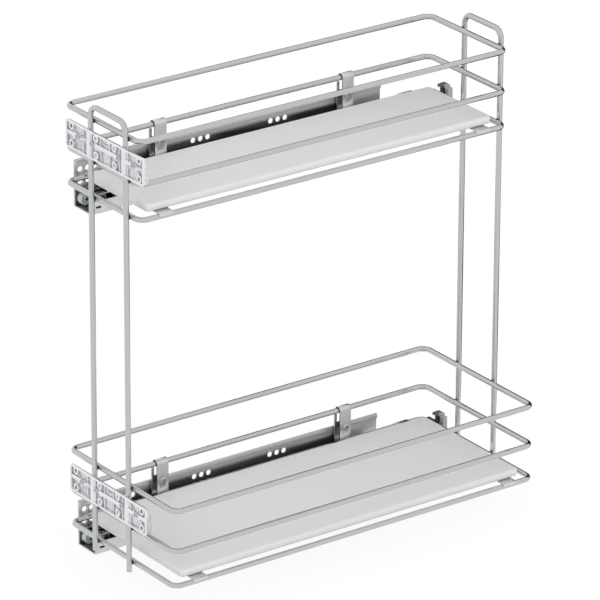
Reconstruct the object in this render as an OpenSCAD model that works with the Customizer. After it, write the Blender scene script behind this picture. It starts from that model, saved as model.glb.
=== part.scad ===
// Two-tier wire basket that pulls out of a narrow base cabinet on two side-mounted roller slides.
// Millimetres. X runs away from the cabinet side panel, -Y towards the cabinet front, +Z up.
// The origin is on the panel face, at the middle front fixing hole of the lower slide.

/* [Basket] */
// Length of each wire ring, between wire centres
ring_len = 475; // [440:5:500]
// Width of the upper rings, between wire centres
upper_w = 137; // [135:1:160]
// Width of the lower rings, between wire centres
lower_w = 197; // [160:1:260]
// Wire diameter
wire_d = 6; // [5.5:0.1:6.2]
// Bend radius of the ring corners, at the wire centre
corner_r = 10; // [8:1:14]
// Height from the middle ring to the top ring
top_gap = 46.5; // [44:0.5:60]
// Height from the bottom ring to the middle ring
bottom_gap = 40; // [38:0.5:50]
// Height from the lower basket to the upper basket
tier_pitch = 395; // [300:1:500]

/* [Uprights] */
// Distance from the wall-side wire to the first upright
upright_x = 55.5; // [54:0.5:58]
// Distance between the two uprights of a loop
upright_gap = 64.5; // [64:0.5:66]
// Height of the loop above the top ring
upright_rise = 17.5; // [14:0.5:40]
// Length of the upright below the lowest ring
upright_tail = 10; // [4:0.5:12]
// Bend radius of the loop, at the wire centre
upright_bend_r = 11; // [9:1:20]

/* [Boards] */
// Thickness of the shelf boards
board_t = 9; // [6:0.5:12]
// Gap between a board and the wire centre at the front and rear
board_end_gap = 13; // [10:1:18]
// Gap between a board and the wire centre on the open side
board_open_gap = 6.5; // [5:0.5:10]
// Gap between a board and the wire centre on the slide side
board_wall_gap = 18.5; // [16:0.5:22]

/* [Slides] */
// Length of the rail that is screwed to the cabinet
rail_len = 400; // [390:5:410]
// Sheet thickness of the slide members
sheet_t = 1.5; // [1.4:0.1:1.6]
// Full travel of the basket
travel = 400; // [300:10:400]
// Distance from the cabinet side panel to the wall-side wire centre
wall_gap = 10; // [10:0.1:10.4]
// Diameter of the fixing holes
fix_hole_d = 6.2; // [4:0.1:6.4]
// Spacing of the fixing holes in a group
fix_pitch = 9.5; // [9:0.1:12]

/* [Front brackets] */
// Width of the bracket casting
bracket_w = 144; // [142:1:156]
// Height of the bracket casting
bracket_h = 31; // [30:0.5:34]
// Depth of the bracket casting
bracket_d = 7; // [6.8:0.1:8]
// Diameter of the holes for the front panel's screws
panel_hole_d = 4.4; // [3:0.1:5]

/* [Hidden] */
$fn = 48;
wire_r = wire_d / 2;
weld = 0.15;                               // how far welded wires sink into each other
front_y = -32;                             // centre line of the front wires
rear_y = front_y + ring_len;
lower_z = -6;                              // bottom ring of the lower basket
upper_z = lower_z + tier_pitch;            // bottom ring of the upper basket
top_z = upper_z + bottom_gap + top_gap;    // topmost ring
low_end_z = lower_z - upright_tail;
loop_z = top_z + upright_rise;

// Slide section, heights from the bottom ring's wire centre
lip_top = 18.5;                             // top of the rail plate
lip_w = 3.2;
lip_h = 5.5;
floor_z = -33.2;                           // upper face of the rail's floor
channel_w = 34;                            // panel face to the outside of the near wall
channel_bend_r = 2;
near_wall_top = -20;
return_z = -15.1;                          // underside of the rail's return flange
return_x = 9;
flange_z = -17.4;                          // underside of the middle rail's roller flange
mid_web_x = 12;
mid_floor_z = -30.1;                       // upper face of the middle rail's floor
mid_floor_x = 24;
mid_edge_t = 1.2;
mid_edge_h = 3;
mid_return_x = 17.5;
mid_return_z = -14.8;
run_flange_z = -17.2;                      // underside of the runner's roller flange
run_web_x = 25;
run_web_low = -29;
run_flange_t = 1.4;
run_top = -wire_r;                         // the bottom ring rests on the runner
riser_x = wall_gap - 5;                    // upright tabs that carry the hangers
riser_w = 18;
riser_top = 34;
riser_notch = [12, 10];                    // width and depth of the notch between a riser's two prongs

// Rollers
big_r = 7.3;
big_x = 3.5;
big_w = 8;
small_r = 6.1;
small_x = 15;
small_w = 7.3;
small_inset = 0.2;
roller_gap = 0.25;
roller_edge = 0.6;                         // step at a roller's rim
roller_dish = 0.5;                         // depth of the ring-shaped recess in its faces
roller_rim = 1.6;
roller_hub = 1;
axle_r = 2.2;
axle_play = 0.05;
rivet_r = 3.5;
rivet_t = 1;
axle_end = 0.1;                            // how far a plain axle stands out of its roller

// Places along the slide
rail_front = front_y + 15;
rail_rear = rail_front + rail_len;
mid_front = rail_front + 2;                // roller flange of the middle rail
mid_web_front = rail_front + 14;
mid_len = rail_len - 4;
mid_rear = mid_front + mid_len;
run_flange_front = rail_front + 11;
run_front = rail_front + 25;
run_web_front = rail_front + 32;           // deep part of the runner's web
run_rear = rear_y + 12;
rail_roller_y = rail_front + 9;
rail_roller_z = flange_z - roller_gap - big_r;
mid_front_roller_y = mid_web_front + 7;
mid_front_roller_z = run_flange_z - roller_gap - small_r;
mid_rear_roller_y = mid_rear - 15;
mid_rear_roller_z = floor_z + roller_gap + big_r;
run_roller_y = mid_rear - 18;
run_roller_z = mid_floor_z + roller_gap + small_r;
stop_t = 1.5;
stop_inset = 0.5;
stop_h = 3;
small_stop_h = 2.5;
// How far along the slide a roller touches the edge of a stop, from the roller's centre
function stop_reach(r, rise) = sqrt(r * r - (r + roller_gap - rise) * (r + roller_gap - rise)) + 0.3;

// Fixing holes of a rail, distances from the front wire and heights from the bottom ring
hole_row_z = 6;
low_row_z = -8;
near_slot_z = -27;
near_slot_r = 1.2;
near_slot_len = 5;                         // between the slot's two round ends
front_holes = -front_y;
slot_holes = front_holes + 49;
middle_holes = front_holes + 144.5;
rear_holes = front_holes + 246;

// Hangers
hanger_ys = [front_y + 116.5, front_y + 362.5];
hanger_w = 15;
hanger_t = 1.5;
hanger_play = 0.1;
hanger_low = 5;
hanger_screw_z = 19.5;
hanger_screw_r = 2;
hanger_head_r = 4.2;
hanger_head_t = 1.9;
hook_end = 4;                              // how far the hook reaches down behind the wire
spacer_r = 3.6;

// Board clips
clip_len = 18;
clip_t = 1;
clip_lap = 1.2;                            // lowest point of a clip on the open side's wire
clip_ys = [front_y + 22, rear_y - 41];
clip_tongue = 12;
board_low = wire_r + clip_t;
board_corner_r = 5;

// Front brackets
upright_y = front_y - wire_d + weld;
rear_upright_y = rear_y + wire_d - weld;
bracket_mid_x = wall_gap + upright_x + upright_gap / 2;
bracket_top = -8;                          // from the basket's top ring
bracket_front = upright_y - 5.15;
bracket_back = bracket_front + bracket_d;
pocket_depth = 3.6;
rim_w = 2.2;
outer_corner_r = 3;
inner_corner_r = 1.5;
back_chamfer = [4.5, 4.5];                 // depth and height taken off the back's top and bottom edges
sink = 0.5;                                // how far ribs and bosses run into the walls they join
channel_play = 0.05;
ridge_r = 4.6;
rib_w = 4.6;
rib_h = 2.6;
rib_z = 1.5;
cross_rib_us = [-41, -25.5, -8.5, 8.5, 25.5, 41];
cross_rib_w = 1.2;
cross_rib_h = 2;
star_angle = 32;                           // ribs that cross at the outer clamp screws
star_len = 25;
star_w = 1.2;
star_h = 1.8;
boss_h = 2.8;
dimple_us = [-17, 17];
dimple_ws = [-9.2, 9.4];
dimple_r = 2.2;
dimple_depth = 2.4;
slot_w = 10;
slot_h = 3.4;
slot_low = 6.6;
clamp_t = 2.6;
clamp_span = [18, 57];
clamp_h = 16;
clamp_screw_us = [24.5, 51];
clamp_screw_r = 2;
clamp_head_r = 3.4;
clamp_head_t = 0.95;
panel_hole_u = 62.5;
panel_hole_w = 9.75;
boss_r = 4.4;

// Rear buffers, heights from the bottom ring
buffer_x = [15, 26, 30.5];                 // wall side of the block, open side of the block and of the wing
buffer_len = 6;
buffer_low = -12.4;
buffer_top = 7;
wing_top = 4.5;
arch_x = 21.5;                             // arched opening in the block's front
arch_z = 0.6;
arch_r = 3.4;
arch_depth = 4.6;
wing_slot = [27, 1.4];                     // place and width of the slot through the wing
wing_slot_z = [-9, 3];
knob_x = 12;
knob_z = 2.8;
knob_r = 1.9;
knob_len = 3.6;
knob_web_h = 1.6;

wire_colour = "#C3C7CA";
steel_colour = "#AAB2B4";
board_colour = "#D6D6D6";
casting_colour = "#E9EBEC";
hanger_colour = "#A8A6A0";
nylon_colour = "#C2C9C4";
dark_colour = "#3A3C3E";

// ---------- shared shapes ----------

// Round bar along one axis, starting at the given point or at the origin
module cylinder_x(r, h) rotate([0, 90, 0]) cylinder(r = r, h = h);
module bar_x(p, len, r) translate(p) rotate([0, 90, 0]) cylinder(r = r, h = len);
module bar_y(p, len, r) translate(p) rotate([-90, 0, 0]) cylinder(r = r, h = len);
module bar_z(p, len, r) translate(p) cylinder(r = r, h = len);

// Pulls a flat section, drawn as X and Z, along Y from y0
module along_y(y0, len) translate([0, y0 + len, 0]) rotate([90, 0, 0]) linear_extrude(len) children();

// Flat rectangle with rounded corners, centred
module rounded_plate(w, h, r) {
  translate([-w / 2 + r, -h / 2]) square([w - 2 * r, h]);
  translate([-w / 2, -h / 2 + r]) square([w, h - 2 * r]);
  for (sx = [-1, 1], sz = [-1, 1])
    translate([sx * (w / 2 - r), sz * (h / 2 - r)]) circle(r);
}

// Quarter of a bent wire, about Z, from angle a
module wire_bend(p, r, a) translate(p) rotate([0, 0, a])
  rotate_extrude(angle = 90) translate([r, 0]) circle(wire_r);

// Closed rectangular wire ring, w between wire centres, at height z
module ring(w, z) {
  x0 = wall_gap;
  x1 = wall_gap + w;
  run_x = w - 2 * corner_r;
  run_y = ring_len - 2 * corner_r;
  color(wire_colour) {
    for (y = [front_y, rear_y]) bar_x([x0 + corner_r, y, z], run_x, wire_r);
    for (x = [x0, x1]) bar_y([x, front_y + corner_r, z], run_y, wire_r);
    wire_bend([x1 - corner_r, rear_y - corner_r, z], corner_r, 0);
    wire_bend([x0 + corner_r, rear_y - corner_r, z], corner_r, 90);
    wire_bend([x0 + corner_r, front_y + corner_r, z], corner_r, 180);
    wire_bend([x1 - corner_r, front_y + corner_r, z], corner_r, 270);
  }
}

// Upright loop: two legs joined over the top
module upright_loop(y) {
  x0 = wall_gap + upright_x;
  x1 = x0 + upright_gap;
  leg = loop_z - upright_bend_r - low_end_z;
  color(wire_colour) {
    for (x = [x0, x1]) bar_z([x, y, low_end_z], leg, wire_r);
    bar_x([x0 + upright_bend_r, y, loop_z], upright_gap - 2 * upright_bend_r, wire_r);
    for (side = [[x0 + upright_bend_r, 90], [x1 - upright_bend_r, 0]])
      translate([side[0], y, loop_z - upright_bend_r]) rotate([90, 0, 0]) rotate([0, 0, side[1]])
        rotate_extrude(angle = 90) translate([upright_bend_r, 0]) circle(wire_r);
  }
}

// ---------- boards ----------

module board(w, z) {
  x0 = wall_gap + board_wall_gap;
  bw = w - board_wall_gap - board_open_gap;
  bl = ring_len - 2 * board_end_gap;
  color(board_colour) translate([x0 + bw / 2, front_y + ring_len / 2, z + board_low])
    linear_extrude(board_t) rounded_plate(bw, bl, board_corner_r);
}

// Section of a board clip that laps the wire at X = 0 down to a height, its tongue running towards -X
module clip_section(tongue, lap) {
  reach = 3 * wire_r;
  difference() {
    circle(wire_r + clip_t);
    circle(wire_r);
    translate([-reach, -reach]) square([reach, 2 * reach]);
    translate([0, -reach]) square([reach, reach + lap]);
  }
  translate([-tongue, wire_r]) square([tongue, clip_t]);
}

module board_clips(w, z) color(wire_colour) for (y = clip_ys) {
  translate([wall_gap + w, 0, z]) along_y(y, clip_len)
    clip_section(board_open_gap + clip_tongue, clip_lap);
  translate([wall_gap, 0, z]) along_y(y, clip_len) mirror([1, 0])
    clip_section(board_wall_gap + clip_tongue, -wire_r);
}

// ---------- hangers between the basket and the runner ----------

// Hook over the middle wire, with a leg clamped to the runner's riser over a spacer
module hanger(z, y) {
  r_in = wire_r + hanger_play;
  r_out = r_in + hanger_t;
  hook_z = z + bottom_gap;
  leg = bottom_gap - hanger_low;
  spacer_x = riser_x + sheet_t;
  color(hanger_colour) difference() {
    union() {
      translate([wall_gap, 0, hook_z]) along_y(y - hanger_w / 2, hanger_w) difference() {
        circle(r_out);
        circle(r_in);
        translate([-2 * r_out, -2 * r_out]) square([4 * r_out, 2 * r_out]);
      }
      translate([wall_gap + r_in, y - hanger_w / 2, z + hanger_low]) cube([hanger_t, hanger_w, leg]);
      translate([wall_gap - r_out, y - hanger_w / 2, hook_z - hook_end])
        cube([hanger_t, hanger_w, hook_end]);
      bar_x([spacer_x, y, z + hanger_screw_z], wall_gap + r_out - spacer_x, spacer_r);
    }
    bar_x([riser_x, y, z + hanger_screw_z], 3 * r_out, hanger_screw_r);
  }
}

// Cross-recess screw: head on the +X side, shank towards the panel
module cross_screw_x(p, head_r, head_t, shank_r, shank_len) translate(p) difference() {
  edge_t = 0.55 * head_t;
  recess = [1.04 * head_r, 0.22 * head_r];   // length and width of each arm
  union() {
    cylinder_x(head_r, edge_t);
    translate([edge_t, 0, 0]) rotate([0, 90, 0])
      cylinder(r1 = head_r, r2 = 0.72 * head_r, h = head_t - edge_t);
    translate([-shank_len, 0, 0]) cylinder_x(shank_r, shank_len);
  }
  for (turn = [0, 90]) rotate([turn, 0, 0])
    translate([0.35 * head_t, -recess[0] / 2, -recess[1] / 2]) cube([head_t, recess[0], recess[1]]);
}

module hanger_screws() {
  face = wall_gap + wire_r + hanger_play + hanger_t;
  color(steel_colour) for (z = [lower_z, upper_z], y = hanger_ys)
    cross_screw_x([face, y, z + hanger_screw_z], hanger_head_r, hanger_head_t,
                  hanger_screw_r, face - riser_x);
}

// ---------- front brackets ----------

// Places a bracket's own drawing: X from the casting's middle, Z from its middle
module at_bracket(z) translate([bracket_mid_x, 0, z + bottom_gap + top_gap + bracket_top - bracket_h / 2])
  children();

// Casting: a shallow tray with a rim, ribs and bosses, and ridges over the two uprights
module front_bracket(z) at_bracket(z) color(casting_colour) difference() {
  floor_y = bracket_front + pocket_depth;
  inner_w = bracket_w - 2 * rim_w;
  inner_h = bracket_h - 2 * rim_w;
  through = bracket_d + 2;
  union() {
    difference() {
      along_y(bracket_front, bracket_d) rounded_plate(bracket_w, bracket_h, outer_corner_r);
      along_y(bracket_front - 1, pocket_depth + 1) rounded_plate(inner_w, inner_h, inner_corner_r);
    }
    // Long middle rib, short cross ribs and round bosses
    translate([-inner_w / 2 - sink, floor_y - rib_h, rib_z - rib_w / 2])
      cube([inner_w + 2 * sink, rib_h + sink, rib_w]);
    for (u = cross_rib_us) translate([u - cross_rib_w / 2, floor_y - cross_rib_h, -inner_h / 2 - sink])
      cube([cross_rib_w, cross_rib_h + sink, inner_h + 2 * sink]);
    for (u = dimple_us, w = dimple_ws) bar_y([u, floor_y - boss_h, w], boss_h + sink, boss_r);
    for (u = [-1, 1], w = [-1, 1])
      bar_y([u * panel_hole_u, floor_y - boss_h, w * panel_hole_w], boss_h + sink, boss_r);
    for (side = [-1, 1], tilt = [-star_angle, star_angle])
      translate([side * clamp_screw_us[1], floor_y - star_h, rib_z]) rotate([0, tilt, 0])
        translate([-star_len / 2, 0, -star_w / 2]) cube([star_len, star_h + sink, star_w]);
    // Ridges over the uprights
    for (side = [-1, 1]) intersection() {
      bar_z([side * upright_gap / 2, upright_y, -bracket_h / 2], bracket_h, ridge_r);
      translate([-bracket_w / 2, bracket_front, -bracket_h / 2]) cube([bracket_w, bracket_d, bracket_h]);
    }
  }
  for (side = [-1, 1])
    bar_z([side * upright_gap / 2, upright_y, -bracket_h], 2 * bracket_h, wire_r + channel_play);
  for (side = [-1, 1], u = clamp_screw_us)
    bar_y([side * u, bracket_front - 1, rib_z], through, clamp_screw_r);
  for (u = [-1, 1], w = [-1, 1])
    bar_y([u * panel_hole_u, bracket_front - 1, w * panel_hole_w], through, panel_hole_d / 2);
  for (u = dimple_us, w = dimple_ws) bar_y([u, bracket_front - 1, w], dimple_depth + 1, dimple_r);
  // Adjusting slot in the middle
  translate([-slot_w / 2, bracket_front - 1, slot_low]) cube([slot_w, through, slot_h]);
  // Chamfers along the back's long edges
  for (edge = [-1, 1]) translate([-bracket_w / 2 - 1, bracket_back, edge * bracket_h / 2])
    rotate([90, 0, 90]) linear_extrude(bracket_w + 2)
      polygon([[-back_chamfer[0], 0], [-back_chamfer[0], edge], [1, edge],
               [1, -edge * back_chamfer[1]], [0, -edge * back_chamfer[1]]]);
}

// Plates behind the casting that clamp it to the uprights
module bracket_clamps(z) at_bracket(z) color(steel_colour) for (side = [-1, 1]) difference() {
  x0 = side > 0 ? clamp_span[0] : -clamp_span[1];
  translate([x0, bracket_back, rib_z - clamp_h / 2])
    cube([clamp_span[1] - clamp_span[0], clamp_t, clamp_h]);
  bar_z([side * upright_gap / 2, upright_y, -bracket_h], 2 * bracket_h, wire_r + channel_play);
  for (u = clamp_screw_us) bar_y([side * u, bracket_back - 1, rib_z], clamp_t + 2, clamp_screw_r);
}

module clamp_screws(z) at_bracket(z) color(steel_colour) for (side = [-1, 1], u = clamp_screw_us) {
  seat = bracket_front + pocket_depth - rib_h;
  rotate([0, 0, -90]) cross_screw_x([-seat, side * u, rib_z], clamp_head_r, clamp_head_t,
                                    clamp_screw_r, bracket_back + clamp_t - seat);
}

// ---------- slide members ----------

// Fixing plate of a rail, with a hemmed top lip
module rail_plate(z) color(steel_colour) difference() {
  translate([0, 0, z]) along_y(rail_front, rail_len) {
    translate([0, floor_z - sheet_t]) square([sheet_t, lip_top - lip_w / 2 - floor_z + sheet_t]);
    translate([0, lip_top - lip_h]) square([lip_w, lip_h - lip_w / 2]);
    translate([lip_w / 2, lip_top - lip_w / 2]) circle(lip_w / 2);
  }
  for (group = [front_holes, middle_holes, rear_holes], i = [-1, 0, 1])
    rail_hole(z + hole_row_z, group + i * fix_pitch);
  for (i = [-0.5, 0.5]) rail_hole(z + hole_row_z, slot_holes + i * fix_pitch);
  for (i = [-1, 0]) rail_hole(z + low_row_z, front_holes + i * fix_pitch);
  axle_hole(0, z);
}

module rail_hole(z, y) bar_x([-1, front_y + y, z], 2 * lip_w, fix_hole_d / 2);
module axle_hole(x, z) bar_x([x - 1, rail_roller_y, z + rail_roller_z], 4 * sheet_t, axle_r);

// Rolled channel of a rail: web, floor, near wall and the flange that keeps the rollers down
module rail_channel(z) color(steel_colour) difference() {
  union() {
    translate([0, 0, z]) along_y(rail_front, rail_len) {
      web_x = sheet_t;
      low = floor_z - sheet_t;
      bend = channel_bend_r;
      translate([web_x, low]) square([sheet_t, return_z + sheet_t - low]);
      translate([web_x, return_z]) square([return_x - web_x, sheet_t]);
      translate([web_x, low]) square([channel_w - web_x - bend, sheet_t]);
      translate([channel_w - sheet_t, low + bend]) square([sheet_t, near_wall_top - low - bend]);
      // Rounded bend between floor and near wall
      translate([channel_w - bend, low + bend]) intersection() {
        difference() {
          circle(bend);
          circle(bend - sheet_t);
        }
        translate([0, -bend]) square(bend);
      }
    }
    // Stops for the middle rail's rear roller, fully open and closed
    for (y = [mid_rear_roller_y - travel / 2 - stop_reach(big_r, stop_h) - stop_t,
              mid_rear_roller_y + stop_reach(big_r, stop_h)])
      translate([big_x + stop_inset, y, z + floor_z]) cube([big_w - 2 * stop_inset, stop_t, stop_h]);
  }
  axle_hole(sheet_t, z);
  // Slot in the near wall, opposite the front roller's axle
  translate([channel_w - 2 * sheet_t, rail_roller_y, z + near_slot_z]) {
    for (end = [-0.5, 0.5]) bar_x([0, end * near_slot_len, 0], 4 * sheet_t, near_slot_r);
    translate([0, -near_slot_len / 2, -near_slot_r]) cube([4 * sheet_t, near_slot_len, 2 * near_slot_r]);
  }
}

// Middle rail: rolls in the channel and carries the runner
module middle_rail(z) color(steel_colour) difference() {
  low = mid_floor_z - sheet_t;
  union() {
    translate([0, 0, z]) {
      along_y(mid_front, mid_len)
        translate([riser_x, flange_z]) square([mid_web_x - riser_x, sheet_t]);
      along_y(mid_web_front, mid_rear - mid_web_front) {
        translate([mid_web_x, low]) square([sheet_t, mid_return_z + sheet_t - low]);
        translate([mid_web_x, low]) square([mid_floor_x - mid_web_x, sheet_t]);
        translate([mid_floor_x - mid_edge_t, low]) square([mid_edge_t, mid_edge_h]);
        translate([mid_web_x, mid_return_z]) square([mid_return_x - mid_web_x, sheet_t]);
      }
    }
    // Stops for the runner's roller, fully open and closed
    for (y = [run_roller_y - travel / 2 - stop_reach(small_r, small_stop_h) - stop_t,
              run_roller_y + stop_reach(small_r, small_stop_h)])
      translate([small_x, y, z + mid_floor_z]) cube([small_w, stop_t, small_stop_h]);
  }
  for (axle = [[mid_front_roller_y, mid_front_roller_z], [mid_rear_roller_y, mid_rear_roller_z]])
    bar_x([mid_web_x - 1, axle[0], z + axle[1]], sheet_t + 2, axle_r);
}

// Runner: carries the basket's bottom ring, with a riser for each hanger
module runner(z) color(steel_colour) difference() {
  union() {
    translate([0, 0, z]) {
      along_y(run_front, run_rear - run_front) {
        translate([riser_x, run_top - sheet_t]) square([run_web_x + sheet_t - riser_x, sheet_t]);
        translate([run_web_x, run_flange_z]) square([sheet_t, run_top - run_flange_z]);
      }
      along_y(run_flange_front, run_rear - run_flange_front)
        translate([small_x - small_inset, run_flange_z])
          square([run_web_x + sheet_t - small_x + small_inset, run_flange_t]);
      along_y(run_web_front, run_rear - run_web_front)
        translate([run_web_x, run_web_low]) square([sheet_t, run_flange_z - run_web_low + 1]);
      for (y = hanger_ys) translate([riser_x, y - riser_w / 2, run_top - sheet_t])
        cube([sheet_t, riser_w, riser_top - run_top + sheet_t]);
    }
  }
  for (y = hanger_ys) {
    bar_x([riser_x - 1, y, z + hanger_screw_z], sheet_t + 2, hanger_screw_r);
    translate([riser_x - 1, y - riser_notch[0] / 2, z + riser_top - riser_notch[1]])
      cube([sheet_t + 2, riser_notch[0], riser_notch[1] + 1]);
  }
  bar_x([run_web_x - 1, run_roller_y, z + run_roller_z], sheet_t + 2, axle_r);
}

// Plastic buffer on the rear end of a runner: a block with an arched opening, a slotted wing and a knob
module rear_buffer(z) color(dark_colour) translate([0, run_rear, z]) difference() {
  block_w = buffer_x[1] - buffer_x[0];
  wing_w = buffer_x[2] - buffer_x[1];
  union() {
    translate([buffer_x[0], 0, buffer_low]) cube([block_w, buffer_len, buffer_top - buffer_low]);
    translate([buffer_x[1], 0, buffer_low]) cube([wing_w, buffer_len, wing_top - buffer_low]);
    translate([knob_x, 0, knob_z - knob_web_h / 2]) cube([buffer_x[0] - knob_x, knob_len, knob_web_h]);
    bar_y([knob_x, 0, knob_z], knob_len, knob_r);
  }
  bar_y([arch_x, -1, arch_z], arch_depth + 1, arch_r);
  translate([arch_x - arch_r, -1, buffer_low - 1])
    cube([2 * arch_r, arch_depth + 1, arch_z - buffer_low + 1]);
  translate([wing_slot[0], -1, wing_slot_z[0]])
    cube([wing_slot[1], buffer_len + 2, wing_slot_z[1] - wing_slot_z[0]]);
}

// ---------- rollers and their axles ----------

// Nylon roller on an axle along X, with a stepped rim and dished faces
module roller(x, w, r, y, z) color(nylon_colour) translate([x, y, z]) rotate([0, 90, 0]) difference() {
  union() {
    cylinder(r = r - roller_edge, h = w);
    translate([0, 0, roller_edge]) cylinder(r = r, h = w - 2 * roller_edge);
  }
  translate([0, 0, -1]) cylinder(r = axle_r + axle_play, h = w + 2);
  for (face = [-roller_dish, w - roller_dish]) translate([0, 0, face]) difference() {
    cylinder(r = r - roller_rim, h = 2 * roller_dish);
    translate([0, 0, -1]) cylinder(r = axle_r + roller_hub, h = 2 * roller_dish + 2);
  }
}

// Riveted axle: shank along X with a flat head at each end
module axle(x0, x1, y, z, head_low, head_high) color(steel_colour) {
  bar_x([x0, y, z], x1 - x0, axle_r);
  if (head_low) bar_x([x0 - rivet_t, y, z], rivet_t, rivet_r);
  if (head_high) bar_x([x1, y, z], rivet_t, rivet_r);
}

module rail_axles() for (z = [lower_z, upper_z])
  axle(0, big_x + big_w + axle_end, rail_roller_y, z + rail_roller_z, false, false);

module middle_axles(z) {
  axle(mid_web_x, small_x + small_w, mid_front_roller_y, z + mid_front_roller_z, false, true);
  axle(big_x, mid_web_x + sheet_t, mid_rear_roller_y, z + mid_rear_roller_z, false, false);
}

module runner_axles() for (z = [lower_z, upper_z])
  axle(small_x, run_web_x + sheet_t, run_roller_y, z + run_roller_z, false, true);

module rail_roller(z) roller(big_x, big_w, big_r, rail_roller_y, z + rail_roller_z);
module middle_rear_roller(z) roller(big_x, big_w, big_r, mid_rear_roller_y, z + mid_rear_roller_z);
module middle_front_roller(z)
  roller(small_x - small_inset, small_w, small_r, mid_front_roller_y, z + mid_front_roller_z);
module runner_roller(z) roller(small_x, small_w, small_r, run_roller_y, z + run_roller_z);

// ---------- nodes ----------

ring(upper_w, top_z);  // upper_top_ring
ring(upper_w, upper_z + bottom_gap);  // upper_middle_ring
ring(upper_w, upper_z);  // upper_bottom_ring
ring(lower_w, lower_z + bottom_gap + top_gap);  // lower_top_ring
ring(lower_w, lower_z + bottom_gap);  // lower_middle_ring
ring(lower_w, lower_z);  // lower_bottom_ring
upright_loop(upright_y);  // front_upright_loop
upright_loop(rear_upright_y);  // rear_upright_loop
board(upper_w, upper_z);  // upper_board
board(lower_w, lower_z);  // lower_board
board_clips(upper_w, upper_z);  // upper_board_clips
board_clips(lower_w, lower_z);  // lower_board_clips
hanger(upper_z, hanger_ys[0]);  // upper_front_hanger
hanger(upper_z, hanger_ys[1]);  // upper_rear_hanger
hanger(lower_z, hanger_ys[0]);  // lower_front_hanger
hanger(lower_z, hanger_ys[1]);  // lower_rear_hanger
hanger_screws();
front_bracket(upper_z);  // upper_front_bracket
front_bracket(lower_z);  // lower_front_bracket
bracket_clamps(upper_z);  // upper_bracket_clamps
bracket_clamps(lower_z);  // lower_bracket_clamps
clamp_screws(upper_z);  // upper_clamp_screws
clamp_screws(lower_z);  // lower_clamp_screws
runner(upper_z);  // upper_runner
runner(lower_z);  // lower_runner
rear_buffer(upper_z);  // upper_rear_buffer
rear_buffer(lower_z);  // lower_rear_buffer
runner_axles();
middle_rail(upper_z);  // upper_middle_rail
middle_rail(lower_z);  // lower_middle_rail
middle_axles(upper_z);  // upper_middle_axles
middle_axles(lower_z);  // lower_middle_axles
rail_plate(upper_z);  // upper_rail_plate
rail_plate(lower_z);  // lower_rail_plate
rail_channel(upper_z);  // upper_rail_channel
rail_channel(lower_z);  // lower_rail_channel
rail_axles();
rail_roller(upper_z);  // upper_rail_roller
rail_roller(lower_z);  // lower_rail_roller
middle_front_roller(upper_z);  // upper_middle_front_roller
middle_front_roller(lower_z);  // lower_middle_front_roller
middle_rear_roller(upper_z);  // upper_middle_rear_roller
middle_rear_roller(lower_z);  // lower_middle_rear_roller
runner_roller(upper_z);  // upper_runner_roller
runner_roller(lower_z);  // lower_runner_roller
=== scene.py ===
"""Looks of a two-tier wire basket that pulls out of a kitchen cabinet on side-mounted roller slides."""
from math import cos, radians, sin

import bmesh
import bpy
from mathutils import Matrix, Vector

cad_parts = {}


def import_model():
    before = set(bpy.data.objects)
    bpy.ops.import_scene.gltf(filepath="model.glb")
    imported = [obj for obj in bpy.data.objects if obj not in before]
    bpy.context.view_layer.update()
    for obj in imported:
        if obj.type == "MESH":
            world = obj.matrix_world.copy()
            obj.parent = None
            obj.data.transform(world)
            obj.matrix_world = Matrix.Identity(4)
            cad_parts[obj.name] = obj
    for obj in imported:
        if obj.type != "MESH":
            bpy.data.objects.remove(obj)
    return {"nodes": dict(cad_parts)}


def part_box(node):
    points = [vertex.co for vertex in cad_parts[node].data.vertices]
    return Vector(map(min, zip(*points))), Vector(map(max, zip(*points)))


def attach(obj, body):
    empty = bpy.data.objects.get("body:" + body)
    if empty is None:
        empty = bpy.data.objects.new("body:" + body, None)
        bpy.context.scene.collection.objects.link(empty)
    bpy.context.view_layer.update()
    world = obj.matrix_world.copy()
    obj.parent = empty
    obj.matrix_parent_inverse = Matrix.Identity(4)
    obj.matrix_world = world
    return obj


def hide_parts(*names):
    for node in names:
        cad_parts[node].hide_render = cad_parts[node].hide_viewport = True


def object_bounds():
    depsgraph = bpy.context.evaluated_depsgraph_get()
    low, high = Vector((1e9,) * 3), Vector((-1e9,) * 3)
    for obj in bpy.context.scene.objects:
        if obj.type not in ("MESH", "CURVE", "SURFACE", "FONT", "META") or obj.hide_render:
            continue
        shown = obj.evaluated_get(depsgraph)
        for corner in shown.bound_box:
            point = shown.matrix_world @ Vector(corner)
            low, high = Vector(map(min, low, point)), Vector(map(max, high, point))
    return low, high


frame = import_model()
cad_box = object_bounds()

MM = 0.001
TIERS = ("upper", "lower")
LEVELS = ("top", "middle", "bottom")
ENDS = ("front", "rear")


def mm(*values):
    """Lengths given in millimetres, in the frame's metres."""
    return tuple(value * MM for value in values)


# Camera, from the lines of the photographed wires
VIEW_AZIMUTH = 54.1735
VIEW_ELEVATION = 22.9207
VIEW_ROLL = 0.2714
VIEW_DISTANCE = 5.736
VIEW_TARGET = Vector((0.0946, 0.2095, 0.2242))
VIEW_LENS = 320.40
SENSOR = 36.0
VIEW_REACH = 50.0

# Wires: bends over the wire's centre, and welds flattened between an upright and a ring
CORNER_R = 10 * MM
LOOP_R = 11 * MM
BEND_STEPS = 10
WIRE_SIDES = 28
WELD_R = 3.0 * MM
WELD_FLAT = 0.8
WELD_STEPS = 3

# Rounded edges of the pressed, cast and sawn pieces
SHEET_EDGE = 0.3 * MM
CAST_EDGE = 0.35 * MM
BOARD_EDGE = 2.2 * MM
PLASTIC_EDGE = 0.5 * MM
SCREW_EDGE = 0.15 * MM
EDGE_STEPS = 2

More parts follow.
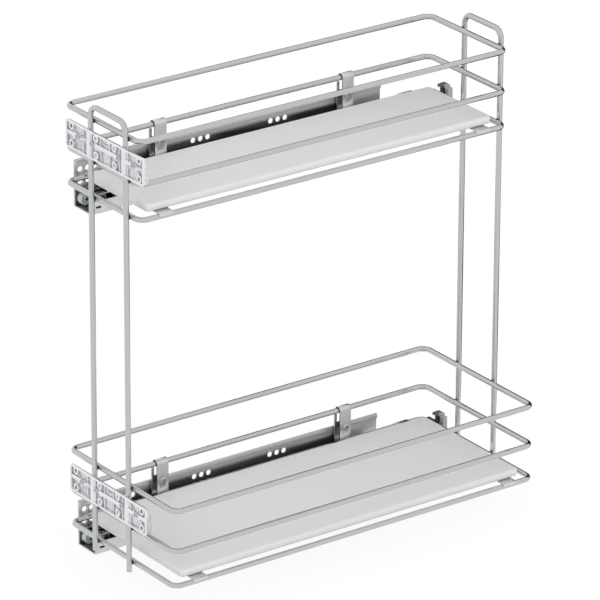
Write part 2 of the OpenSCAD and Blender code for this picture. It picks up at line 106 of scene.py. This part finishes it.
# Joining a CAD mesh's triangles: how close corners and, in degrees, how flat faces are. The least angles of a
# rounded edge and of a crease, and how squarely a strap's faces look along Y to take their painted shade
JOIN_REACH = 0.002 * MM
FLAT_ANGLE = 0.5
EDGE_ANGLE = 30
CREASE_ANGLE = 35
STRAP_SHADE_FACING = 0.6

# Heights of the two bottom rings' wires, from which the slides' own heights count
RING_Z = {tier: sum(corner.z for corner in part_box(f"{tier}_bottom_ring")) / 2 for tier in TIERS}
TIER_PITCH = RING_Z["upper"] - RING_Z["lower"]

# Where a finish or a painted shade changes, as the start and end of the change. X counts from the cabinet's side
# panel.
PLATE_FACE_X = mm(1.0, 1.4)
# Within the roller track's near wall and above its floor, the track is painted darker as shade
TRACK_WALL_X = mm(32.6, 32.0)
# Nearer the cabinet's side panel than this span, the buffers are painted dark as shade
BUFFER_SHADE_X = mm(20, 25)
# Y counts from the rail plate's front screws.
# The painted shade on the fixing plate's inner face fades in from the front and out towards the rear
SHADE_FRONT_Y = mm(20, 40)
SHADE_REAR_Y = mm(334, 326)
# Z counts from the tier's bottom ring.
# Below this span the fixing plate's inner face takes its painted shade
SHADE_TOP_Z = mm(11, 5.5)
LIP_FOOT_Z = mm(13.4, 12.6)
# Over this span the plate's lip is painted a little darker towards its top, as shade
LIP_Z = mm(13, 19)
TRACK_FLOOR_Z = mm(-33.7, -33.2)
# Depths into the front brackets, from their front face, over which a painted shade greys them
CAST_RECESS = mm(0.3, 3.6)


# ---------- shader helpers ----------

def linear(code):
    """An sRGB hex colour as the linear RGBA that shader sockets take."""
    parts = [int(code[i:i + 2], 16) / 255 for i in (1, 3, 5)]
    return tuple(c / 12.92 if c <= 0.04045 else ((c + 0.055) / 1.055) ** 2.4 for c in parts) + (1.0,)


def add(tree, kind, links=None, **settings):
    """Adds a node. links gives input sockets a value or another node's output; settings are its properties."""
    made = tree.nodes.new(kind)
    for key, value in settings.items():
        setattr(made, key, value)
    for key, value in (links or {}).items():
        if isinstance(value, bpy.types.NodeSocket):
            tree.links.new(value, made.inputs[key])
        else:
            made.inputs[key].default_value = value
    return made


def new_material(name):
    material = bpy.data.materials.new(name)
    material.use_nodes = True
    material.node_tree.nodes.clear()
    return material, material.node_tree


def finish_material(tree, shader):
    add(tree, "ShaderNodeOutputMaterial", {"Surface": shader.outputs[0]})


def surface(tree, colour, marks, roughness, depth=0.0, **inputs):
    """Ends a material as one shader whose gloss follows the marks, and its relief too if they have a depth."""
    links = {"Base Color": colour, "Roughness": spread(tree, marks, *roughness)}
    if depth:
        links["Normal"] = add(tree, "ShaderNodeBump", {"Height": marks, "Distance": depth}).outputs[0]
    finish_material(tree, add(tree, "ShaderNodeBsdfPrincipled", {**links, **inputs}))


def grain(tree, size, detail=3.0, stretch=(1, 1, 1)):
    """Noise of a given size on Object coordinates, stretched along an axis where its factor is small."""
    coords = add(tree, "ShaderNodeTexCoord").outputs["Object"]
    turned = add(tree, "ShaderNodeMapping", {"Vector": coords, "Scale": stretch})
    return add(tree, "ShaderNodeTexNoise",
               {"Vector": turned.outputs[0], "Scale": 1 / size, "Detail": detail}).outputs["Fac"]


def blend_colour(tree, factor, low, high):
    """A colour between two hex colours, by a noise that keeps mostly to its middle values."""
    ramp = add(tree, "ShaderNodeValToRGB", {"Fac": factor})
    for element, position, colour in zip(ramp.color_ramp.elements, (0.3, 0.7), (low, high)):
        element.position = position
        element.color = linear(colour)
    return ramp.outputs["Color"]


def layered(tree, factor, below, above):
    """Covers one colour with another by a factor."""
    return add(tree, "ShaderNodeMix", {0: factor, 6: below, 7: above}, data_type="RGBA").outputs[2]


def spread(tree, factor, low, high):
    """Maps a 0 to 1 factor to a range of plain numbers."""
    return add(tree, "ShaderNodeMapRange", {"Value": factor, "To Min": low, "To Max": high}).outputs[0]


def rise(tree, value, span):
    """Rises smoothly from 0 at the start of a span to 1 at its end."""
    return add(tree, "ShaderNodeMapRange", {"Value": value, "From Min": span[0], "From Max": span[1]},
               interpolation_type="SMOOTHSTEP").outputs[0]


def maths(tree, operation, first, second, **settings):
    return add(tree, "ShaderNodeMath", {0: first, 1: second}, operation=operation, **settings).outputs[0]


def along(tree, axis):
    """The Object coordinate along one axis."""
    coords = add(tree, "ShaderNodeTexCoord").outputs["Object"]
    return add(tree, "ShaderNodeSeparateXYZ", {0: coords}).outputs[axis]


def height_in_tier(tree):
    """The height from the bottom ring of the tier that a point is in, so both tiers share a finish."""
    lifted = maths(tree, "ADD", along(tree, "Z"), TIER_PITCH / 2 - RING_Z["lower"])
    folded = maths(tree, "FLOORED_MODULO", lifted, TIER_PITCH)
    return maths(tree, "SUBTRACT", folded, TIER_PITCH / 2)


# ---------- materials ----------

def chrome_wire():
    """Chrome plating on drawn steel wire: mirror-like, with faint drawing marks under the plating."""
    material, tree = new_material("chrome_plated_wire")
    marks = grain(tree, 0.9 * MM)
    surface(tree, blend_colour(tree, marks, "#BDBDBE", "#C5C5C6"), marks, (0.14, 0.2), 0.01 * MM, Metallic=1.0)
    return material


def weld_metal():
    """Spot-welded steel, thinly plated over, painted near black as the shade and dark reflection in the corner
    between two wires.
    """
    material, tree = new_material("weld_painted_shade")
    scale = grain(tree, 0.5 * MM)
    surface(tree, blend_colour(tree, scale, "#1C1D1E", "#3A3C3D"), scale, (0.3, 0.5), 0.05 * MM, Metallic=1.0)
    return material


def zinc_cloud(tree, dark, light):
    return blend_colour(tree, grain(tree, 6 * MM), dark, light)


def zinc_surface(tree, colour, metallic=1.0):
    """Satin zinc with rolling marks along the slide, over a colour."""
    marks = grain(tree, 1.2 * MM, stretch=(1, 0.04, 1))
    surface(tree, colour, marks, (0.24, 0.38), 0.015 * MM, Metallic=metallic)


def zinc_sheet():
    """Zinc-plated cold-rolled steel: cool grey, satin."""
    material, tree = new_material("zinc_plated_sheet_steel")
    zinc_surface(tree, zinc_cloud(tree, "#ADB0B3", "#BCBEC1"))
    return material


def zinc_track():
    """Zinc-plated steel of a roller track: painted darker within its walls, as shade, and pale outside."""
    material, tree = new_material("zinc_track_painted_shade")
    inside = maths(tree, "MULTIPLY", rise(tree, along(tree, "X"), TRACK_WALL_X),
                   rise(tree, height_in_tier(tree), TRACK_FLOOR_Z))
    zinc_surface(tree, layered(tree, inside, zinc_cloud(tree, "#C8C9CB", "#D3D4D6"), linear("#8C8F92")))
    return material


def zinc_plate():
    """Zinc-plated fixing plate: pale, with a duller lip painted a little darker towards its top as shade and, between
    its ends, a near-black painted shade below the lip on its inner face, in the gap under the board.
    """
    material, tree = new_material("zinc_plate_painted_shade")
    face = rise(tree, along(tree, "X"), PLATE_FACE_X)
    height = height_in_tier(tree)
    plate_shade = rise(tree, height, SHADE_TOP_Z)
    for span in (SHADE_FRONT_Y, SHADE_REAR_Y):
        plate_shade = maths(tree, "MULTIPLY", plate_shade, rise(tree, along(tree, "Y"), span))
    lip = layered(tree, rise(tree, height, LIP_Z), linear("#C8C9CB"), linear("#BFC0C2"))
    below_lip = maths(tree, "MULTIPLY", face, rise(tree, height, LIP_FOOT_Z))
    plate_tone = layered(tree, below_lip, lip, linear("#DADBDD"))
    zinc_surface(tree, layered(tree, maths(tree, "MULTIPLY", face, plate_shade), plate_tone, linear("#47494C")), 0.6)
    return material


def zinc_member():
    """Zinc-plated steel of the rolling middle member, painted dark all over as the shade within the slide."""
    material, tree = new_material("zinc_member_painted_shade")
    zinc_surface(tree, zinc_cloud(tree, "#525457", "#7C7E80"))
    return material


def nickel_strap():
    """Nickel-plated pressed steel: a pale satin grey, brushed upright."""
    material, tree = new_material("nickel_plated_steel")
    marks = grain(tree, 0.8 * MM, stretch=(1, 1, 0.08))
    surface(tree, blend_colour(tree, marks, "#CECECE", "#D9D9D9"), marks, (0.25, 0.4), 0.01 * MM, Metallic=1.0)
    return material


def strap_side_shade():
    """Faces of the nickel-plated straps that look along Y: painted much darker, as their shade."""
    material, tree = new_material("strap_side_painted_shade")
    side_grain = grain(tree, 0.4 * MM)
    surface(tree, blend_colour(tree, side_grain, "#4C4D4E", "#66686A"), side_grain, (0.35, 0.5), Metallic=1.0)
    return material


def laminate():
    """Melamine-faced board with post-formed edges: pale grey, satin, with a fine pearl grain."""
    material, tree = new_material("melamine_faced_board")
    pearl = grain(tree, 0.7 * MM, detail=4.0)
    surface(tree, blend_colour(tree, pearl, "#D2D2D2", "#D7D7D7"), pearl, (0.42, 0.54), 0.02 * MM)
    return material


def plated_casting():
    """Bright-plated zinc die casting: near white, with a painted shade that greys it in its recess, with soft ripples
    from the mould.
    """
    material, tree = new_material("plated_zinc_casting")
    ripple = grain(tree, 2.5 * MM)
    rim_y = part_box("upper_front_bracket")[0].y
    recess = rise(tree, along(tree, "Y"), [rim_y + depth for depth in CAST_RECESS])
    colour = layered(tree, recess, blend_colour(tree, ripple, "#E6E7E9", "#F4F4F6"),
                     blend_colour(tree, ripple, "#C5C7CA", "#E6E7E9"))
    surface(tree, colour, ripple, (0.24, 0.4), 0.08 * MM, Metallic=1.0)
    return material


def nylon():
    """Moulded nylon: grey-white with a green cast, slightly waxy."""
    material, tree = new_material("moulded_nylon")
    cloud = grain(tree, 2 * MM)
    surface(tree, blend_colour(tree, cloud, "#AEB6B1", "#C4CCC7"), cloud, (0.35, 0.48),
            **{"Subsurface Weight": 0.15, "Subsurface Scale": 1.5 * MM})
    return material


def dark_plastic():
    """Moulded acetal: painted dark as shade on the cabinet's side, mid grey on the other, with a fine texture."""
    material, tree = new_material("moulded_acetal")
    scuffs = grain(tree, 2.6 * MM)
    colour = layered(tree, rise(tree, along(tree, "X"), BUFFER_SHADE_X),
                     blend_colour(tree, scuffs, "#202122", "#707274"),
                     blend_colour(tree, scuffs, "#8E9092", "#B0B2B4"))
    surface(tree, colour, grain(tree, 0.4 * MM), (0.4, 0.55), 0.03 * MM)
    return material


def zinc_screw():
    """Zinc-plated screws and rivets: bright, with fine turning marks."""
    material, tree = new_material("zinc_plated_screws")
    marks = grain(tree, 0.5 * MM)
    surface(tree, blend_colour(tree, marks, "#B6B7B8", "#C8C8C9"), marks, (0.2, 0.32), Metallic=1.0)
    return material


CHROME, WELD, ZINC, NICKEL, LAMINATE = chrome_wire(), weld_metal(), zinc_sheet(), nickel_strap(), laminate()
PLATE, TRACK, MEMBER, STRAP_SHADE = zinc_plate(), zinc_track(), zinc_member(), strap_side_shade()
CASTING, NYLON, DARK, SCREW = plated_casting(), nylon(), dark_plastic(), zinc_screw()


# ---------- making pieces ----------

def link(name, data):
    """Puts a mesh, lamp or camera into the scene."""
    made = bpy.data.objects.new(name, data)
    bpy.context.scene.collection.objects.link(made)
    return made


def place(piece, body, slot, *replaced):
    """Gives a piece its body, and hides the CAD nodes that it stands for. Its slot is not used."""
    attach(piece, body)
    if replaced:
        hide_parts(*replaced)
    return piece


def shade(mesh):
    """Smooth shading with creases at the real edges."""
    mesh.polygons.foreach_set("use_smooth", [True] * len(mesh.polygons))
    mesh.set_sharp_from_angle(angle=radians(CREASE_ANGLE))


def mesh_of(name, corners, edges=(), faces=()):
    mesh = bpy.data.meshes.new(name)
    mesh.from_pydata([tuple(c) for c in corners], list(edges), list(faces))
    return mesh


def grow(name, base, tree, inputs):
    """Runs a Geometry Nodes tree on a base mesh and returns the result as a plain mesh object."""
    seed = link(name + "_base", base)
    modifier = seed.modifiers.new("grow", "NODES")
    modifier.node_group = tree
    sockets = {s.name: s.identifier for s in tree.interface.items_tree if s.item_type == "SOCKET"}
    for key, value in inputs.items():
        modifier[sockets[key]] = value
    ready = seed.evaluated_get(bpy.context.evaluated_depsgraph_get())
    mesh = bpy.data.meshes.new_from_object(ready)
    seed.modifiers.remove(modifier)
    bpy.data.objects.remove(seed)
    mesh.name = name
    shade(mesh)
    return link(name, mesh)


def start_tree(name, inputs):
    """A Geometry Nodes tree with named inputs, given as name: socket type."""
    tree = bpy.data.node_groups.new(name, "GeometryNodeTree")
    tree.interface.new_socket("Geometry", in_out="INPUT", socket_type="NodeSocketGeometry")
    tree.interface.new_socket("Geometry", in_out="OUTPUT", socket_type="NodeSocketGeometry")
    for key, kind in inputs.items():
        tree.interface.new_socket(key, in_out="INPUT", socket_type=kind)
    return tree, add(tree, "NodeGroupInput")


def end_tree(tree, geometry, material):
    """Ends a tree with real geometry in one material."""
    real = add(tree, "GeometryNodeRealizeInstances", {"Geometry": geometry})
    dressed = add(tree, "GeometryNodeSetMaterial", {"Geometry": real.outputs[0], "Material": material})
    add(tree, "NodeGroupOutput", {"Geometry": dressed.outputs[0]})


def wire_tree():
    """A wire bent along a line of straight runs."""
    tree, given = start_tree("bent_wire", {
        "Bend radius": "NodeSocketFloat", "Wire radius": "NodeSocketFloat", "Material": "NodeSocketMaterial"})
    path = add(tree, "GeometryNodeMeshToCurve", {"Mesh": given.outputs["Geometry"]})
    bent = add(tree, "GeometryNodeFilletCurve",
               {"Curve": path.outputs[0], "Radius": given.outputs["Bend radius"], "Count": BEND_STEPS}, mode="POLY")
    profile = add(tree, "GeometryNodeCurvePrimitiveCircle",
                  {"Resolution": WIRE_SIDES, "Radius": given.outputs["Wire radius"]})
    tube = add(tree, "GeometryNodeCurveToMesh",
               {"Curve": bent.outputs[0], "Profile Curve": profile.outputs[0], "Fill Caps": True})
    end_tree(tree, tube.outputs[0], given.outputs["Material"])
    return tree


def weld_tree():
    """A flattened bead of weld metal on every point, its short way along Y."""
    tree, given = start_tree("weld_beads", {"Radius": "NodeSocketFloat", "Material": "NodeSocketMaterial"})
    bead = add(tree, "GeometryNodeMeshIcoSphere", {"Radius": given.outputs["Radius"], "Subdivisions": WELD_STEPS})
    beads = add(tree, "GeometryNodeInstanceOnPoints", {
        "Points": given.outputs["Geometry"], "Instance": bead.outputs[0], "Scale": (1.0, WELD_FLAT, 1.0)})
    end_tree(tree, beads.outputs[0], given.outputs["Material"])
    return tree


def bent_wire(tree, name, node, corners, closed, bend, radius):
    """One wire through its corners, standing for a CAD node."""
    count = len(corners)
    runs = [(i, (i + 1) % count) for i in range(count if closed else count - 1)]
    wire = grow(name, mesh_of(node, corners, runs), tree,
                {"Bend radius": bend, "Wire radius": radius, "Material": CHROME})
    place(wire, "basket", "chrome_wire", node)


def wires():
    """The six closed rings, each joined in the middle of its wall-side run, and the two upright loops."""
    tree = wire_tree()
    for tier in TIERS:
        for level in LEVELS:
            node = f"{tier}_{level}_ring"
            low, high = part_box(node)
            r = (high.z - low.z) / 2
            left, right, front, rear = low.x + r, high.x - r, low.y + r, high.y - r
            outline = [(left, (low.y + high.y) / 2), (left, front), (right, front), (right, rear), (left, rear)]
            bent_wire(tree, f"{tier}_{level}_ring_wire", node, [(x, y, low.z + r) for x, y in outline], True,
                      CORNER_R, r)
    for end in ENDS:
        node = f"{end}_upright_loop"
        low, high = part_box(node)
        r = (high.y - low.y) / 2
        outline = [(low.x + r, low.z), (low.x + r, high.z - r), (high.x - r, high.z - r), (high.x - r, low.z)]
        bent_wire(tree, f"{end}_upright_wire", node, [(x, low.y + r, z) for x, z in outline], False, LOOP_R, r)


def welds():
    """Where an upright's leg touches a ring."""
    spots = []
    for end in ENDS:
        low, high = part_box(f"{end}_upright_loop")
        r = (high.y - low.y) / 2
        for tier in TIERS:
            for level in LEVELS:
                ring_low, ring_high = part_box(f"{tier}_{level}_ring")
                y = ring_low.y if end == "front" else ring_high.y
                z = (ring_low.z + ring_high.z) / 2
                spots += [(low.x + r, y, z), (high.x - r, y, z)]
    beads = grow("wire_welds", mesh_of("spots", spots), weld_tree(), {"Radius": WELD_R, "Material": WELD})
    place(beads, "basket", "chrome_wire")


def softened(node, name, edge, material, slot, body):
    """A copy of a CAD node with its flat faces joined and its edges rounded, standing for the node."""
    work = bmesh.new()
    work.from_mesh(frame["nodes"][node].data)
    bmesh.ops.remove_doubles(work, verts=work.verts, dist=JOIN_REACH)
    bmesh.ops.dissolve_limit(work, angle_limit=radians(FLAT_ANGLE), verts=work.verts, edges=work.edges)
    corners = [e for e in work.edges if e.is_manifold and e.calc_face_angle(0) > radians(EDGE_ANGLE)]
    bmesh.ops.bevel(work, geom=corners, offset=edge, segments=EDGE_STEPS, profile=0.5, affect="EDGES",
                    clamp_overlap=True)
    mesh = bpy.data.meshes.new(name)
    work.to_mesh(mesh)
    work.free()
    mesh.materials.append(material)
    shade(mesh)
    return place(link(name, mesh), body, slot, node)


def shade_strap_sides(strap):
    """Gives the faces across a strap's width, along Y, the darker material of a painted shade."""
    strap.data.materials.append(STRAP_SHADE)
    for face in strap.data.polygons:
        if abs(face.normal.y) > STRAP_SHADE_FACING:
            face.material_index = 1


def sheet_metal():
    """The slides' sheets, the hangers, the clips and the clamp plates."""
    for tier in TIERS:
        for node, name, material, body in (
                (f"{tier}_rail_plate", f"{tier}_fixing_plate", PLATE, "cabinet_rails"),
                (f"{tier}_rail_channel", f"{tier}_roller_channel", TRACK, "cabinet_rails"),
                (f"{tier}_middle_rail", f"{tier}_middle_member", MEMBER, f"{tier}_middle_rail"),
                (f"{tier}_runner", f"{tier}_runner_member", ZINC, "basket")):
            softened(node, name, SHEET_EDGE, material, "zinc_steel", body)
        for end in ENDS:
            shade_strap_sides(softened(f"{tier}_{end}_hanger", f"{tier}_{end}_strap", SHEET_EDGE, NICKEL,
                                      "hanger_steel", "basket"))
        softened(f"{tier}_board_clips", f"{tier}_wire_clips", SHEET_EDGE, NICKEL, "chrome_wire", "basket")
        softened(f"{tier}_bracket_clamps", f"{tier}_clamp_plates", SHEET_EDGE, ZINC, "zinc_steel", "basket")


def boards():
    for tier in TIERS:
        softened(f"{tier}_board", f"{tier}_shelf_board", BOARD_EDGE, LAMINATE, "board", f"{tier}_board")


def castings():
    """The front brackets and the rear buffers."""
    for tier in TIERS:
        softened(f"{tier}_front_bracket", f"{tier}_bracket_casting", CAST_EDGE, CASTING, "casting", "basket")
        softened(f"{tier}_rear_buffer", f"{tier}_end_buffer", PLASTIC_EDGE, DARK, "dark_plastic", "basket")


def small_parts():
    """Screws, rivets and rollers."""
    for tier in TIERS:
        softened(f"{tier}_clamp_screws", f"{tier}_clamping_screws", SCREW_EDGE, SCREW, "screw_steel", "basket")
        softened(f"{tier}_middle_axles", f"{tier}_middle_rivets", SCREW_EDGE, SCREW, "screw_steel",
                 f"{tier}_middle_rail")
        for roller in ("rail_roller", "middle_front_roller", "middle_rear_roller", "runner_roller"):
            node = f"{tier}_{roller}"
            softened(node, f"{node}_wheel", PLASTIC_EDGE, NYLON, "nylon", node)
    for node, name, body in (("hanger_screws", "strap_screws", "basket"), ("runner_axles", "runner_rivets", "basket"),
                             ("rail_axles", "rail_rivets", "cabinet_rails")):
        softened(node, name, SCREW_EDGE, SCREW, "screw_steel", body)


# ---------- stage ----------

WHITE = linear("#FFFFFF")
FLOOR_GAP = 2 * MM
FLOOR_HALF = 20.0
FLOOR_GLOW = 0.92

# Lamps: degrees round from the camera, degrees up, and watts
LAMPS = {"key": (35, 30, 20), "fill": (-50, 35, 10)}
LAMP_DISTANCE = 3.0
LAMP_SIZE = 2.0

# A dark card stands behind the basket and a dark mat lies on the floor up to it, both for reflections only
CARD_COLOUR = "#222222"
CARD_AZIMUTH = 210
CARD_SIZE = (2.5, 1.8)
CARD_DISTANCE = 2.2
MAT_REACH = (0.4, 2.2)
MAT_WIDTH = 1.4


def towards(azimuth, elevation):
    """Unit vector from the object towards a viewer at that azimuth and elevation, in degrees."""
    a, e = radians(azimuth), radians(elevation)
    return Vector((sin(a) * cos(e), -cos(a) * cos(e), sin(e)))


def aim(thing, target):
    thing.rotation_euler = (target - thing.location).to_track_quat("-Z", "Y").to_euler()


def staged_sheet(name, corners, material):
    """A flat sheet of the stage, which isn't part of the object."""
    mesh = mesh_of(name, corners, faces=[(0, 1, 2, 3)])
    mesh.materials.append(material)
    sheet = link(name, mesh)
    return sheet


def white_to_lens(tree):
    """1 for rays that show the background: from the camera, from gloss and through glass."""
    path = add(tree, "ShaderNodeLightPath").outputs
    seen = maths(tree, "ADD", path["Is Camera Ray"], path["Is Glossy Ray"])
    return maths(tree, "ADD", seen, path["Is Transmission Ray"], use_clamp=True)


def stage_floor():
    """White floor: mostly its own white to the lens, and the rest matte, which keeps a pale shadow."""
    material, tree = new_material("pale_floor")
    matte = add(tree, "ShaderNodeBsdfDiffuse", {"Color": WHITE})
    glow = add(tree, "ShaderNodeEmission", {"Color": WHITE, "Strength": 1.0})
    share = maths(tree, "MULTIPLY", white_to_lens(tree), FLOOR_GLOW)
    finish_material(tree, add(tree, "ShaderNodeMixShader", {0: share, 1: matte.outputs[0], 2: glow.outputs[0]}))
    z = cad_box[0].z - FLOOR_GAP
    staged_sheet("floor", [(x * FLOOR_HALF, y * FLOOR_HALF, z) for x, y in ((-1, -1), (1, -1), (1, 1), (-1, 1))],
                 material)


def world():
    """Plain white all round, which lights the object and is its background too."""
    made = bpy.data.worlds.new("studio")
    made.use_nodes = True
    tree = made.node_tree
    tree.nodes.clear()
    white = add(tree, "ShaderNodeBackground", {"Color": WHITE, "Strength": 1.0})
    add(tree, "ShaderNodeOutputWorld", {"Surface": white.outputs[0]})
    bpy.context.scene.world = made


def reflection_card(name, start, end, width):
    """A dark sheet, seen only in polished metal, which gives wires and rims an edge."""
    material, tree = new_material("black_" + name)
    finish_material(tree, add(tree, "ShaderNodeEmission", {"Color": linear(CARD_COLOUR), "Strength": 1.0}))
    away = towards(CARD_AZIMUTH, 0)
    side = Vector((-away.y, away.x, 0)) * width / 2
    card = staged_sheet(name, [start - side, start + side, end + side, end - side], material)
    card.visible_camera = card.visible_diffuse = card.visible_shadow = card.visible_transmission = False


def reflection_cards():
    away = towards(CARD_AZIMUTH, 0)
    foot = Vector((VIEW_TARGET.x, VIEW_TARGET.y, cad_box[0].z - FLOOR_GAP / 2))
    upright = foot + CARD_DISTANCE * away
    width, height = CARD_SIZE
    reflection_card("card", upright, upright + Vector((0, 0, height)), width)
    reflection_card("mat", foot + MAT_REACH[0] * away, foot + MAT_REACH[1] * away, MAT_WIDTH)


def lamps():
    for name, (side, height, power) in LAMPS.items():
        data = bpy.data.lights.new(name, "AREA")
        data.energy = power
        data.size = LAMP_SIZE
        made = link(name, data)
        made.location = VIEW_TARGET + LAMP_DISTANCE * towards(VIEW_AZIMUTH + side, height)
        made.visible_glossy = False
        aim(made, VIEW_TARGET)


def camera():
    data = bpy.data.cameras.new("camera")
    data.lens = VIEW_LENS
    data.sensor_width = SENSOR
    data.clip_end = VIEW_REACH
    made = link("camera", data)
    made.location = VIEW_TARGET + VIEW_DISTANCE * towards(VIEW_AZIMUTH, VIEW_ELEVATION)
    aim(made, VIEW_TARGET)
    turn = Matrix.Rotation(radians(VIEW_ROLL), 4, "Z")
    made.rotation_euler = (made.rotation_euler.to_matrix().to_4x4() @ turn).to_euler()
    bpy.context.scene.camera = made


wires()
welds()
sheet_metal()
boards()
castings()
small_parts()
stage_floor()
world()
reflection_cards()
lamps()
camera()
bpy.context.scene.view_settings.view_transform = "Standard"
